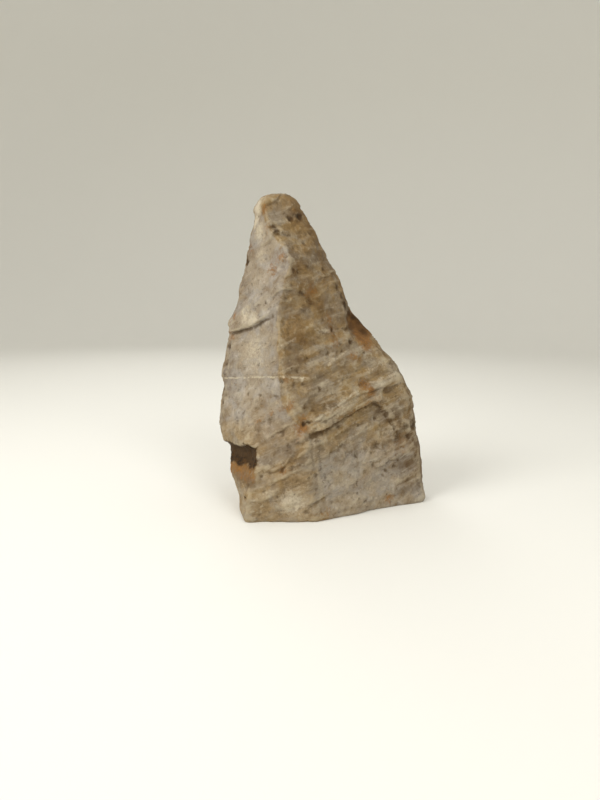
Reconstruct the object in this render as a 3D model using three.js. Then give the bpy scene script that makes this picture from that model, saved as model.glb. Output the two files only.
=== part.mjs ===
// A block of raw soapstone for carving, stood upright on its sawn foot.
//
// The block is one solid. Nine arrises, the edges where its broken faces meet, climb from the foot
// to the crown, and flat faces run from each to the next. Ledges, where flakes have come off below
// a layer of the stone, climb to the right across them. Rings of points are drawn round the faces,
// bent so that every ledge keeps a crisp lip, and the skin over them is pushed in and out to give
// the relief.
//
// Millimetres, +Z up, the front faces -Y. The arrises are laid out from a plumb line that hangs
// just right of the crown, and the finished block is moved so that its box stands centred on the
// origin.

import * as THREE from "three";
import { ImprovedNoise } from "three/addons/math/ImprovedNoise.js";

const { smoothstep, lerp } = THREE.MathUtils;

// ---- Driving sizes --------------------------------------------------------------------------

const HEIGHT = 167.5; // foot to crown
const CROWN_START = 160; // height at which the sides turn over into the crown
const PEAK = [-7, 5]; // x and y of the highest point
const FOOT_BEVEL = 1.2; // worn edge round the sawn foot, in width and in height

// Each arris is a run of [height, x, y] points, straight from one to the next. They are listed
// anticlockwise as seen from above, and `columns` is the number of steps across the face that
// runs from this arris to the next one. A turn is a place in that order: 1.5 is half way across
// the face from the second arris to the third.
const ARRISES = [
  {
    name: "back of the left side",
    columns: 7,
    run: [
      [0, -22, 8], [16, -25, 10], [34, -31, 12], [44, -33.5, 13], [66, -32.5, 14], [90, -29, 14],
      [109, -24, 13], [135, -19.5, 12], [160, -13.5, 10],
    ],
  },
  {
    name: "front of the left side",
    columns: 8,
    run: [
      [0, -22.5, -19], [8, -21.8, -16], [15, -25.2, -13], [22, -29.6, -10], [33, -32, -7],
      [35, -30.8, -6], [39, -34, -4], [44, -35.5, -3], [50, -34.9, -1], [66, -34.6, 1],
      [76, -34.8, 2.5], [90, -33.8, 3], [100, -31.4, 3.5], [104, -28.6, 4], [110, -25.2, 4],
      [122, -22.8, 4.5], [135, -21, 5], [148, -18.6, 5.5], [157, -18.2, 6], [160, -17.6, 6],
    ],
  },
  {
    name: "left front",
    columns: 11,
    run: [
      [0, -18.5, -34.8], [12, -16.4, -34.6], [22, -15.4, -34.2], [27, -13.6, -33.6],
      [36, -13.4, -31.6], [41, -15.4, -28.4], [47, -18, -24.5], [60, -17.5, -19],
      [80, -17.5, -15.5], [100, -17, -12], [122, -12, -10], [148, -13, -5.5], [160, -13, -2],
    ],
  },
  {
    name: "brow between the light face and the dark one",
    columns: 15,
    run: [
      [0, 17.8, -32.4], [12, 16, -33], [42, 15, -34.5], [49, 8.5, -34], [62, 4, -33],
      [76, 0.4, -31], [98, -2, -26], [107, -3, -24], [121, 0, -21.5], [130, 3.4, -20],
      [138, 0.5, -17], [146, -5, -14], [154, -9.5, -11], [160, -10.5, -8],
    ],
  },
  {
    name: "right edge of the spire",
    columns: 9,
    run: [
      [0, 54, -13.5], [40, 50, -13], [60, 46, -11.5], [78, 41, -8], [91, 36, -3],
      [98, 33.8, -1], [111, 30.6, 0], [124, 24, 0], [142, 14, 0], [155, 7, -1], [160, 4, -1],
    ],
  },
  {
    name: "front of the right side, and floor of the rusty pocket above the shoulder",
    columns: 4,
    run: [
      [0, 80.8, -0.6], [5, 79.8, 1], [20, 77, 3], [31, 76, 3], [44, 73.2, 3], [58, 71, 3.5],
      [71, 64.8, 4], [82, 56, 4], [90, 46, 5], [96, 38, 8], [104, 34.2, 9], [111, 34.2, 8],
      [124, 28, 7.5], [142, 17, 6.5], [155, 10, 5.5], [160, 7, 5],
    ],
  },
  {
    name: "back of the right side, and rim of the shoulder",
    columns: 13,
    run: [
      [0, 83.4, 14], [6, 81.6, 14.5], [20, 80.2, 15], [30, 79.7, 15], [44, 76, 16],
      [58, 73.6, 17], [71, 67.4, 18], [85, 58.2, 19], [98, 46.8, 20], [105, 39.5, 19.5],
      [111, 33.5, 18], [124, 25, 17], [142, 14, 15], [160, 4.5, 12],
    ],
  },
  {
    name: "middle of the back",
    columns: 10,
    run: [
      [0, 38, 40], [26, 35, 38], [58, 30, 34], [84, 19, 31], [98, 12, 27], [124, 5, 23],
      [145, 0, 20], [160, -3, 16],
    ],
  },
  {
    name: "left of the back",
    columns: 7,
    run: [
      [0, -10, 33], [30, -15, 31], [52, -21, 29], [76, -23, 27], [104, -17, 22], [124, -13, 19],
      [145, -11, 17], [160, -9, 13],
    ],
  },
];

// ---- Ledges ---------------------------------------------------------------------------------

// Guides are bent rings that the ledges' lips lie on, from the lowest up: [turn, height] right
// round the block. `rings` counts the rings from the guide below. Under a ledge the surface lies
// `depth` back, and it comes out again over `reach` further down.
const GUIDES = [
  {
    rings: 14,
    line: [
      [0, 36], [1, 35.5], [1.7, 36.5], [2, 38.5], [2.88, 44.5], [3.03, 46.5], [3.3, 49.3],
      [3.67, 55.3], [3.96, 59.5], [4.12, 61], [4.24, 57.6], [4.4, 51], [4.6, 43.5],
      [4.79, 40.3], [5.85, 42.2], [6.3, 44], [6.8, 51], [7.2, 53], [7.5, 48], [8, 45],
      [8.4, 38], [9, 36],
    ],
    ledges: [
      { name: "notch at the lower left", from: 0.25, to: 2.02, depth: 5.5, reach: 24 },
      { name: "long ledge across the front", from: 2.9, to: 4.4, depth: 2.8, reach: 48 },
      { name: "crack below its right end", from: 4.2, to: 6.1, depth: 1.5, reach: 30 },
      { name: "low ledge on the back", from: 7.2, to: 8.95, depth: 2.8, reach: 36 },
    ],
  },
  {
    rings: 8,
    line: [
      [0, 62], [1, 64], [2, 68], [3, 76], [4, 87], [6, 86], [6.6, 84], [7, 79], [7.3, 80],
      [7.8, 75], [8.5, 67], [9, 62],
    ],
    ledges: [{ name: "middle ledge on the back", from: 6.5, to: 8.6, depth: 3.4, reach: 26 }],
  },
  {
    rings: 10,
    line: [
      [0, 96], [1, 96.9], [1.7, 98.2], [2.09, 100.6], [2.33, 102.9], [2.62, 106.4],
      [2.87, 109.6], [3, 112.5], [4, 122], [5, 124], [6, 122], [6.3, 120], [6.8, 115],
      [7.1, 116], [7.7, 107], [8.3, 101], [9, 96],
    ],
    ledges: [
      { name: "foot of the slab on the light face", from: 0.6, to: 2.98, depth: 2, reach: 19 },
      { name: "upper ledge on the back", from: 6.2, to: 7.8, depth: 2.6, reach: 28 },
    ],
  },
];
const TOP_RINGS = 15; // rings from the highest guide to the crown
const LIP_HEIGHT = 1.1; // how far below its lip a ledge is at its full depth
const LEDGE_END = 0.16; // turn over which a ledge dies out at each end

// ---- Other relief ---------------------------------------------------------------------------

const SWELLS = [
  { size: 46, depth: 2 }, // broad hollows and swells
  { size: 21, depth: 0.9 }, // palm-sized unevenness
  { size: 9, depth: 0.45 }, // lumps
];

// Between the ledges the layers show as low steps.
const LAYER_NORMAL = new THREE.Vector3(-0.42, 0.16, 0.89).normalize();
const LAYER_SPACING = 11;
const LAYER_STEP = 0.7;

// Pits and bites, where small flakes have dropped out: [x, y, height] and the size of each.
const PITS = [
  { at: [38, 8, 100], radius: 6, depth: 2.5 }, // rusty pocket between the spire and the shoulder
  { at: [-6, -15, 147], radius: 2.6, depth: 1.6 }, // hole under the crown
  { at: [11, -33, 52], radius: 2.6, depth: 1.8 }, // hole at the left end of the long ledge
  { at: [-17.5, 6, 152], radius: 3, depth: 1.2 },
  { at: [-19.5, 5, 139], radius: 3, depth: 1.5 },
  { at: [-22.5, 4, 126], radius: 3, depth: 1.3 },
  { at: [-30, 3, 93], radius: 3, depth: 1.4 },
  { at: [-33, 2, 84], radius: 3, depth: 1.2 },
  { at: [-34, 0, 66], radius: 3, depth: 1.2 },
  { at: [-2, 25, 137], radius: 6, depth: 1.8 },
  { at: [30, 34, 66], radius: 8, depth: 2.2 },
  { at: [-26, 20, 40], radius: 7, depth: 2 },
];

const noise = new ImprovedNoise();

// Soft noise from -1 to 1 whose lumps are about `size` across.
function lumps(p, size) {
  return noise.noise(p.x / size + 7.3, p.y / size + 2.1, p.z / size + 5.9);
}

function swells(p) {
  return SWELLS.reduce((sum, { size, depth }) => sum + depth * lumps(p, size), 0);
}

// Low steps: each layer stands out at its lower lip and thins towards the next one above it.
function layers(p) {
  const layer = LAYER_NORMAL.dot(p) / LAYER_SPACING + 0.5 * lumps(p, 24);
  const above = layer - Math.floor(layer);
  return LAYER_STEP * (smoothstep(above, 0, 0.2) - above);
}

function ledges(p, turn) {
  return GUIDES.reduce((total, { line, ledges: list }) => {
    const below = pointOn(line, turn)[0] - p.z;
    return list.reduce((sum, { from, to, depth, reach }) => {
      const fromEnd = smoothstep(Math.min(turn - from, to - turn), 0, LEDGE_END);
      const scar = smoothstep(below, 0, LIP_HEIGHT) * Math.max(0, 1 - below / reach);
      return sum - depth * scar * fromEnd;
    }, total);
  }, 0);
}

function pits(p) {
  return PITS.reduce((sum, { at, radius, depth }) => {
    const away = p.distanceTo(new THREE.Vector3(...at)) / radius;
    return sum - depth * Math.exp(-away * away);
  }, 0);
}

// How far the surface stands out from the flat faces, in millimetres.
function relief(p, turn) {
  return swells(p) + layers(p) + ledges(p, turn) + pits(p);
}

// ---- Faces ----------------------------------------------------------------------------------

// A line is a list of [start, ...values] points, straight from one to the next. These are its
// values at a place on it.
function pointOn(line, place) {
  const next = line.findIndex(([start]) => start >= place);
  if (next <= 0) return line.at(next).slice(1);
  const [start, ...from] = line[next - 1];
  const [end, ...to] = line[next];
  return from.map((value, i) => lerp(value, to[i], (place - start) / (end - start)));
}

// The point on the flat faces at a turn and a height.
function onFace(turn, height) {
  const count = ARRISES.length;
  const first = Math.floor(turn);
  const [near, far] = [first, first + 1].map((i) => pointOn(ARRISES[(i + count) % count].run, height));
  return new THREE.Vector3(...near, height).lerp(new THREE.Vector3(...far, height), turn - first);
}

// The point on the stone: pushed out level from the flat faces by the relief.
const SIDE_STEP = 0.06; // turn to each side over which the way out is measured
function onStone(turn, height) {
  const p = onFace(turn, height);
  const ahead = onFace(turn + SIDE_STEP, height);
  const along = ahead.sub(onFace(turn - SIDE_STEP, height));
  const outwards = new THREE.Vector3(along.y, -along.x, 0).normalize();
  return p.clone().addScaledVector(outwards, relief(p, turn));
}

// ---- Rings ----------------------------------------------------------------------------------

const TURNS = ARRISES.flatMap(({ columns }, i) =>
  Array.from({ length: columns }, (_, k) => i + k / columns),
);

// Heights of the rings at a turn, from the top of the foot's bevel to the start of the crown.
// Each guide has a second ring just below it, so that the ledges on it are steep.
function ringHeights(turn) {
  const heights = [FOOT_BEVEL];
  const climb = (to, rings) => {
    const from = heights.at(-1);
    for (let k = 1; k <= rings; k++) heights.push(lerp(from, to, k / rings));
  };
  for (const { line, rings } of GUIDES) {
    const [lip] = pointOn(line, turn);
    climb(lip - LIP_HEIGHT, rings);
    climb(lip, 1);
  }
  climb(CROWN_START, TOP_RINGS);
  return heights;
}

function sides() {
  const columns = TURNS.map((turn) => ringHeights(turn).map((height) => onStone(turn, height)));
  return columns[0].map((_, r) => columns.map((column) => column[r]));
}

function centreOf(points) {
  return points.reduce((sum, p) => sum.add(p), new THREE.Vector3()).divideScalar(points.length);
}

// The sawn foot: the outline on the ground, drawn in by the width of its worn edge.
function foot() {
  const outline = TURNS.map((turn) => onStone(turn, 0));
  const middle = centreOf(outline);
  return outline.map((p) => {
    const arm = p.sub(middle);
    return arm.setLength(arm.length() - FOOT_BEVEL).add(middle);
  });
}

// The crown is a quarter of an ellipse from the last ring of the sides to the peak.
const CROWN_RINGS = 5;
function crown() {
  const brim = TURNS.map((turn) => onStone(turn, CROWN_START));
  const middle = new THREE.Vector3(...PEAK, 0);
  return Array.from({ length: CROWN_RINGS }, (_, k) => {
    const angle = ((k + 1) / (CROWN_RINGS + 1)) * (Math.PI / 2);
    const height = lerp(CROWN_START, HEIGHT, Math.sin(angle));
    return brim.map((p) => p.clone().lerp(middle, 1 - Math.cos(angle)).setZ(height));
  });
}

function skin() {
  const base = foot();
  const rings = [base, ...sides(), ...crown()];
  const columns = TURNS.length;
  const points = rings.flat();
  const under = points.push(centreOf(base)) - 1;
  const peak = points.push(new THREE.Vector3(...PEAK, HEIGHT)) - 1;

  const faces = [];
  for (let c = 0; c < columns; c++) {
    const d = (c + 1) % columns;
    faces.push(under, d, c);
    for (let r = 0; r < rings.length - 1; r++) {
      const low = r * columns;
      const high = low + columns;
      faces.push(low + c, low + d, high + d, low + c, high + d, high + c);
    }
    const last = (rings.length - 1) * columns;
    faces.push(last + c, last + d, peak);
  }
  return new THREE.BufferGeometry().setFromPoints(points).setIndex(faces);
}

// ---- The block ------------------------------------------------------------------------------

const geometry = skin();
geometry.computeBoundingBox();
const middle = geometry.boundingBox.getCenter(new THREE.Vector3());
geometry.translate(-middle.x, -middle.y, 0);
geometry.computeVertexNormals();

const stone = new THREE.Mesh(
  geometry,
  new THREE.MeshStandardMaterial({ color: 0xb19d82, roughness: 0.85, metalness: 0 }),
);
stone.name = "stone";

const block = new THREE.Group();
block.add(stone);

export default block;
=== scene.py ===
# %% [markdown]
# # A block of raw soapstone
#
# Soapstone is a soft rock of talc and chlorite, sold to carvers in rough blocks. This one stands
# upright on a sawn foot, narrow at the top, with a shoulder on its right. It is one solid, so it
# is made as one piece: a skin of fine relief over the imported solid, and a finish of stains.
#
# All shapes are worked out in millimetres and turned into metres when a mesh is made.

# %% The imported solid
import itertools
import math

import bmesh
import bpy
import numpy as np
from mathutils import Matrix, Vector


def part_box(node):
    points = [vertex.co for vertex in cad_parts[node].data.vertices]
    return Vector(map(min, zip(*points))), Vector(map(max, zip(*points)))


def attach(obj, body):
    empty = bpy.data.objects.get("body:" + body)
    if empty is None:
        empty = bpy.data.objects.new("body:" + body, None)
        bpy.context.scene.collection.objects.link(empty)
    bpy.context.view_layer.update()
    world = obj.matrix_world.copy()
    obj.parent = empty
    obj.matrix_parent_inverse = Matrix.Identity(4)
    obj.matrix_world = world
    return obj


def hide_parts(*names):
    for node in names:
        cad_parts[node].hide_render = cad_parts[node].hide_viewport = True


MM = 0.001  # one millimetre, in Blender's metres

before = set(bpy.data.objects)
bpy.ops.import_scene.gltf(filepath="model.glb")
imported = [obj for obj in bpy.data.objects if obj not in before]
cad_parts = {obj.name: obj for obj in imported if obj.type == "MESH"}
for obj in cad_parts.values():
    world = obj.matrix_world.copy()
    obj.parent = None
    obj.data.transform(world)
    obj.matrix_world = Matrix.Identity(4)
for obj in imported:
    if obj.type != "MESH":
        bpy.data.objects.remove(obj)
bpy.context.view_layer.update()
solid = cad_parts["stone"]
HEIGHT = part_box("stone")[1].z / MM
print(f"solid: {len(solid.data.polygons)} triangles, {HEIGHT:.1f} mm tall")

# %% [markdown]
# ## The camera
#
# The block is seen from a little above its shoulder, at arm's length, through the wide lens of a
# phone. A camera in Blender looks down its own -Z, so it is first stood up to look along +Y, then
# dipped, and last rolled a little about its line of sight.

# %% Camera
PICTURE_HEIGHT = 800  # pixels; the picture is 600 wide
FOCAL_LENGTH = 600  # in the same pixels
SENSOR = 36  # millimetres along the long side
EYE = (-14.594, -328.592, 119.98)
DIP = 10.76  # degrees below level
ROLL = 0.88

lens = bpy.data.cameras.new("camera")
lens.sensor_width = SENSOR
lens.lens = FOCAL_LENGTH / PICTURE_HEIGHT * SENSOR
camera = bpy.data.objects.new("camera", lens)
bpy.context.scene.collection.objects.link(camera)
bpy.context.scene.camera = camera
stand = Matrix.Rotation(math.radians(90 - DIP), 4, "X")
camera.matrix_world = (
    Matrix.Translation(Vector(EYE) * MM) @ stand @ Matrix.Rotation(math.radians(ROLL), 4, "Z")
)
print(f"camera: {lens.lens:.1f} mm lens, {math.hypot(*EYE[:2]):.0f} mm away")

# %% [markdown]
# ## A grid over the block
#
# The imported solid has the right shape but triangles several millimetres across, too coarse for
# chips and grain. Subdividing them would keep their uneven pattern. Instead a slim core is made
# inside the block as a grid of rings and columns, and each of its points is thrown outwards until
# it lands on the solid. The result is an even grid over the whole surface, and every later step
# is arithmetic on whole arrays of (ring, column).
#
# The core follows the middle of the block's slices, so that it leans as the spire leans.

# %% Slices of the solid
corners = np.empty(len(solid.data.vertices) * 3, np.float32)
solid.data.vertices.foreach_get("co", corners)
corners = corners.reshape(-1, 3).astype(float) / MM


def slices(levels, reach=9):
    """Middle and half width, in x and y, of the corners within `reach` of each level."""
    near = abs(corners[None, :, 2] - levels[:, None]) < reach
    lowest = np.where(near[..., None], corners[None, :, :2], np.inf).min(axis=1)
    highest = np.where(near[..., None], corners[None, :, :2], -np.inf).max(axis=1)
    return (lowest + highest) / 2, (highest - lowest) / 2


LEVELS = np.linspace(14, HEIGHT - 6, 20)
slice_middle, slice_half = slices(LEVELS)
print("slices, half width in mm:", slice_half[::5].round().tolist())

# %% The core
COLUMNS = 384
SIDE_RINGS = 214
CROWN_RINGS = 30
FIRST_LEVEL = 0.9  # height of the lowest ring, just above the worn edge of the foot
CORE_SHARE = 0.4  # width of the core over the width of the block
CORE_SHOULDER = 13  # the core closes from this far below the top
CORE_TOP = 8
CROWN_END = 0.985  # share of the quarter turn; the rest is closed by a point


def core():
    """Rings of an ellipse round the middle of each slice; towards the top they close as a
    quarter of an ellipse, cos for their width and sin for their height."""
    straight = np.linspace(FIRST_LEVEL, HEIGHT - CORE_SHOULDER, SIDE_RINGS)
    angle = np.linspace(0, math.pi / 2, CROWN_RINGS + 1)[1:] * CROWN_END
    level = np.concatenate([straight, straight[-1] + (CORE_SHOULDER - CORE_TOP) * np.sin(angle)])
    width = CORE_SHARE * np.concatenate([np.ones(SIDE_RINGS), np.cos(angle)])
    turn = np.linspace(0, 2 * math.pi, COLUMNS, endpoint=False)
    way = np.stack([np.cos(turn), np.sin(turn)], axis=-1)
    middle, half = (
        np.stack([np.interp(level, LEVELS, part[:, k]) for k in range(2)], axis=-1)
        for part in (slice_middle, slice_half)
    )
    flat = middle[:, None] + width[:, None, None] * half[:, None] * way[None]
    tall = np.broadcast_to(level[:, None, None], flat.shape[:2] + (1,))
    return np.concatenate([flat, tall], axis=-1)


def ring_quads(rings, columns, start=0):
    """The four corners of each face between neighbouring rings of a grid, outside facing."""
    ring, column = np.meshgrid(np.arange(rings - 1), np.arange(columns), indexing="ij")
    low, after = start + ring * columns, (column + 1) % columns
    faces = np.stack([low + column, low + after, low + columns + after, low + columns + column], -1)
    return faces.reshape(-1, 4)


def make_object(name, points, faces):
    mesh = bpy.data.meshes.new(name)
    mesh.from_pydata(points.reshape(-1, 3) * MM, [], faces)
    made = bpy.data.objects.new(name, mesh)
    bpy.context.scene.collection.objects.link(made)
    return made


core_grid = core()
print("core:", core_grid.shape[0], "rings of", core_grid.shape[1])

# %% Throwing the core onto the solid
WELD = 0.01  # corners of the solid nearer than this, in millimetres, are one


def cast(grid):
    """Each point of the grid, moved along its normal to where it lands on the solid. The corners
    of a copy of the solid are joined first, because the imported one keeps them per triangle."""
    ball = make_object("core", grid, ring_quads(*grid.shape[:2]).tolist())
    target = make_object("target", corners, [])
    joined = bmesh.new()
    joined.from_mesh(solid.data)
    bmesh.ops.remove_doubles(joined, verts=joined.verts, dist=WELD * MM)
    joined.to_mesh(target.data)
    joined.free()
    throw = ball.modifiers.new("throw", "SHRINKWRAP")
    throw.target = target
    throw.wrap_method = "PROJECT"
    throw.use_positive_direction = True
    landed = ball.evaluated_get(bpy.context.evaluated_depsgraph_get()).data
    points = np.empty(grid.size, np.float32)
    landed.vertices.foreach_get("co", points)
    for piece in (ball, target):
        bpy.data.meshes.remove(piece.data)
    return points.reshape(grid.shape).astype(float) / MM


shell = cast(core_grid)
print("cast: mean throw", np.linalg.norm(shell - core_grid, axis=-1).mean().round(1), "mm")

# %% [markdown]
# ## Working on a grid
#
# Four tools carry all the carving that follows. Blurring averages each point with its
# neighbours. The way outwards at each point is the cross product of the way round and the way up.
# The relief at a point is how far it stands out from the blurred grid. A fade turns a distance
# into a soft mask.

# %% Blur, outwards, relief and fade


def blur(field, times=1):
    """The 1-2-1 average round each ring and up each column, over and over. Past the first and
    last rings the field is taken to go on straight, so those rings stay where they are."""
    for _ in range(times):
        field = (np.roll(field, 1, axis=1) + 2 * field + np.roll(field, -1, axis=1)) / 4
        over = np.concatenate([field[1:], 2 * field[-1:] - field[-2:-1]])
        under = np.concatenate([2 * field[:1] - field[1:2], field[:-1]])
        field = (over + 2 * field + under) / 4
    return field


def outwards(grid):
    """Unit normals: the step to the next column crossed with the step to the next ring."""
    around = np.roll(grid, -1, axis=1) - np.roll(grid, 1, axis=1)
    up = np.gradient(grid, axis=0)
    normal = np.cross(around, up)
    return normal / np.linalg.norm(normal, axis=-1, keepdims=True)


def relief_at(grid, times):
    """How far each point stands out from the grid blurred `times` times, in millimetres."""
    smooth = blur(grid, times)
    return ((grid - smooth) * outwards(smooth)).sum(axis=-1)


def fade(value, start, end):
    """0 before start, 1 after end, and a smooth 3t² - 2t³ between them."""
    t = np.clip((value - start) / (end - start), 0, 1)
    return t * t * (3 - 2 * t)


print("outwards at the lowest ring, z part:", outwards(shell)[0, :, 2].mean().round(2))

# %% [markdown]
# ## Taking out the facets
#
# Two blurs are enough to hide the solid's own triangles and keep its edges. One place needs more:
# the step at the foot of the slab dies out into the brow, and there the grid is blurred away.

# %% Smoothed shell
FACET_BLUR = 2
STEP_END = (-21, -25, 115)
STEP_END_SIZE = (9, 12, 7)
STEP_END_BLUR = 30

shell = blur(shell, FACET_BLUR)
step_end = np.exp(-(((shell - STEP_END) / STEP_END_SIZE) ** 2).sum(axis=-1))
shell += step_end[..., None] * (blur(shell, STEP_END_BLUR) - shell)
print("shell:", shell.shape)

# %% [markdown]
# ## Noise
#
# Broken stone needs three kinds of unevenness. Soft noise gives lumps and hollows: each corner of a
# lattice has a random slope, and the slopes fade into each other. Flakes are flat facets, each with
# a tilt of its own, that meet at sharp ridges, as where pieces have been knocked off. Grains are
# scattered points, where a pit can lie. All start from numbers that look random but are worked out
# from the place itself, so the block is the same on every run.

# %% Scattered numbers and soft noise


def dice(place, seed):
    """A number from 0 to 1 for each whole-number place. The large odd factors and the shifts
    spread a small change of place over all 32 bits."""
    x, y, z = (place[..., k].astype(np.int64).astype(np.uint64) for k in range(3))
    mixed = x * np.uint64(73856093) ^ y * np.uint64(19349663) ^ z * np.uint64(83492791)
    mixed = (mixed + np.uint64(seed * 668265263)) & np.uint64(0xFFFFFFFF)
    for shift, factor in ((16, 2246822519), (13, 3266489917)):
        mixed = (mixed ^ (mixed >> np.uint64(shift))) * np.uint64(factor) & np.uint64(0xFFFFFFFF)
    return (mixed ^ (mixed >> np.uint64(16))).astype(float) / 2**32


def soft_noise(points, size, seed):
    """Lumps about `size` across, from -1 to 1: at each lattice corner a random slope times the
    distance from it, faded between the eight corners with 6t⁵ - 15t⁴ + 10t³."""
    place = points / size
    cell = np.floor(place)
    inside = place - cell
    blend = inside**3 * (inside * (6 * inside - 15) + 10)
    total = np.zeros(points.shape[:-1])
    for corner in itertools.product((0, 1), repeat=3):
        slope = np.stack([dice(cell + corner, seed + k) * 2 - 1 for k in range(3)], axis=-1)
        weight = np.prod(np.where(corner, blend, 1 - blend), axis=-1)
        total += weight * ((inside - corner) * slope).sum(axis=-1)
    return 1.5 * total


def rough(points, size, seed, octaves=4):
    """Soft noise at one size, plus half as much at half the size, and so on."""
    return sum(soft_noise(points, size / 2**k, seed + 10 * k) / 2**k for k in range(octaves))


print("soft noise, spread:", soft_noise(shell, 10, 1).std().round(2))

# %% Flakes and grains
FAR = 9.0  # more than any least value below
FLAKE_STEP = 0.4  # most that one facet lies deeper than another, over the flakes' size


def scattered(points, size, seed):
    """For each of the 27 cells round a point, the cell and the way from the random place in it to
    the point, both over `size`."""
    place = points / size
    cell = np.floor(place)
    for step in itertools.product((-1, 0, 1), repeat=3):
        home = cell + step
        centre = home + np.stack([dice(home, seed + k) for k in range(3)], axis=-1)
        yield home, place - centre


def flakes(points, size, seed, tilt=0.8):
    """Flat facets that meet at sharp ridges: the least, over the scattered places near by, of
    distance⁴ + a random slope times the way from the place + a random depth."""
    least = np.full(points.shape[:-1], FAR)
    for home, way in scattered(points, size, seed):
        slope = np.stack([dice(home, seed + k) for k in range(3, 6)], axis=-1) - 0.5
        facet = ((way**2).sum(axis=-1)) ** 2 + tilt * (way * slope).sum(axis=-1)
        least = np.minimum(least, facet + FLAKE_STEP * dice(home, seed + 6))
    return least


def grains(points, size, seed):
    """Distance to the nearest of many scattered places, over `size`: 0 at each of them."""
    least = np.full(points.shape[:-1], FAR)
    for _, way in scattered(points, size, seed):
        least = np.minimum(least, (way**2).sum(axis=-1))
    return np.sqrt(least)


print("flakes, spread:", flakes(shell, 10, 20).std().round(2))

# %% [markdown]
# ## Layers
#
# The stone is foliated: it grew in thin sheets, which here climb to the right. Flakes come off
# along them, so low steps and streaks run up across the faces. Distances along the layers'
# normal are measured longer than distances within them, and round noise becomes flat lenses.

# %% The layers' own axes
LAYER_NORMAL = np.array([-0.42, 0.16, 0.89])
LAYER_NORMAL /= np.linalg.norm(LAYER_NORMAL)
LAYER_WAVE = 0.55  # how far the layers wander, over their spacing
LAYER_SHARE = 1.6  # depth of the deepest layer; the square of a random share makes most shallow
LAYER_LIP = 0.12  # share of the spacing in which a lip rises


def in_layers(points, flatness):
    """The points with their part along the layers' normal multiplied by `flatness`."""
    through = points @ LAYER_NORMAL
    return points + (flatness - 1) * through[..., None] * LAYER_NORMAL


def layer_steps(points, spacing, seed):
    """A saw edge through the layers: each one stands out at its lower lip and thins upwards. The
    lips wander with soft noise, each layer has its own share of the depth, and parts of it are
    gone."""
    through = points @ LAYER_NORMAL / spacing + LAYER_WAVE * rough(points, 22, seed, 3)
    number = np.floor(through)
    above = through - number
    share = LAYER_SHARE * dice(np.stack([number, number * 0, number * 0], axis=-1), seed) ** 2
    kept = fade(soft_noise(points, 17, seed + 5), -0.25, 0.35)
    return (fade(above, 0, LAYER_LIP) - above) * share * kept


lean = math.degrees(math.atan2(-LAYER_NORMAL[0], LAYER_NORMAL[2]))
print(f"layers: climb {lean:.0f} degrees to the right")


# %% [markdown]
# ## The faces
#
# Two faces meet at the brow, a bent edge that comes down from the crown. The one on its left is a
# clean parting, pale and almost smooth. The rest is broken ground. A mask is 1 on the pale face and
# 0 off it, and the carving and the finish both use it.

# %% Where the pale face is
BROW = np.array([
    [0, -5.4], [33, -7], [43.5, -9], [51, -15], [57, -20.5], [63.6, -24], [69, -24.6],
    [79, -25.7], [89, -25.8], [97, -26.2], [105, -26.8], [109, -26.3], [117.5, -23.9],
    [124, -23], [130, -20.6], [138, -22.2], [141.4, -26.9], [149.3, -32.2], [157.3, -36.6],
    [168, -37],
])  # height of a point of the brow, and its x

away = outwards(blur(shell, 6))
x, y, z = np.moveaxis(shell, -1, 0)
brow = np.interp(z, BROW[:, 0], BROW[:, 1])
front = fade(-away[..., 1], -0.1, 0.35)
left_of_brow = fade(brow - x + 0.8 * soft_noise(shell, 7, 50), -0.4, 0.6)
pale = front * left_of_brow * fade(z + 5 * soft_noise(shell, 20, 51), 34, 58)
print(f"pale face: {pale.mean():.2f} of the grid")

# %% [markdown]
# ## Edges with a name
#
# A few edges give the block its look from a step away: the lip of the slab on the pale face, the
# long ledge across the front and the crack that falls from its right end, the roof of the notch
# at the lower left. Each is a line of (x, height) points that is true on the front of the block.
# The signed distance from it gives a crisp lip above and a groove below.

# %% Distance from a line on the front


def beside(line):
    """Distance of each point from a line seen from the front: positive above it. The nearest
    segment decides, and past the line's ends the distance grows as from a dot."""
    flat = np.stack([x, z], axis=-1)
    nearest = np.full(flat.shape[:-1], 1e6)
    signed = np.zeros(flat.shape[:-1])
    for start, end in itertools.pairwise(np.array(line, float)):
        along = end - start
        reach = np.clip(((flat - start) @ along) / (along @ along), 0, 1)
        gap = flat - start - reach[..., None] * along
        distance = np.linalg.norm(gap, axis=-1)
        side = np.where(along[0] * gap[..., 1] - along[1] * gap[..., 0] >= 0, 1, -1)
        closer = distance < nearest
        signed = np.where(closer, side * distance, signed)
        nearest = np.where(closer, distance, nearest)
    return signed


def taper(line, length=5):
    """1 along a line and 0 past its ends, by x."""
    lowest, highest = min(p[0] for p in line), max(p[0] for p in line)
    return fade(x, lowest - length, lowest) * (1 - fade(x, highest, highest + length))


SLAB_STEP = [(-56, 96.9), (-50, 97.6), (-44.8, 98.4), (-40.3, 100.6), (-37.5, 102.9),
             (-33.4, 106), (-29.5, 109), (-26.5, 112)]
SLAB_LIP = [(-58, 91.5), (-53.5, 93.9), (-47.5, 96.6), (-38.5, 100.7), (-30.4, 104.5),
            (-26.5, 108.1)]
LEDGE_LIP = [(-14.8, 44), (-12.5, 45.3), (-9, 47), (-5, 48.5), (0, 50.3), (5, 52), (10, 54),
             (15, 56.1), (20, 58.4), (24.5, 60.4)]
CRACK = [(24.5, 60.2), (28.8, 56.6), (31.9, 52.1), (35.7, 47.1), (38.5, 42.5), (43.9, 43.4),
         (49, 44.5), (54, 45)]
NOTCH_LIP = [(-57, 35.4), (-52, 35.9), (-48.4, 36.4), (-45, 37.2), (-40.5, 38.2)]
CREST = [(-14.5, 47.5), (-9, 51.5), (-3.9, 54.6), (3, 58.2), (10.2, 62.2), (15.5, 65.6)]
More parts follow.
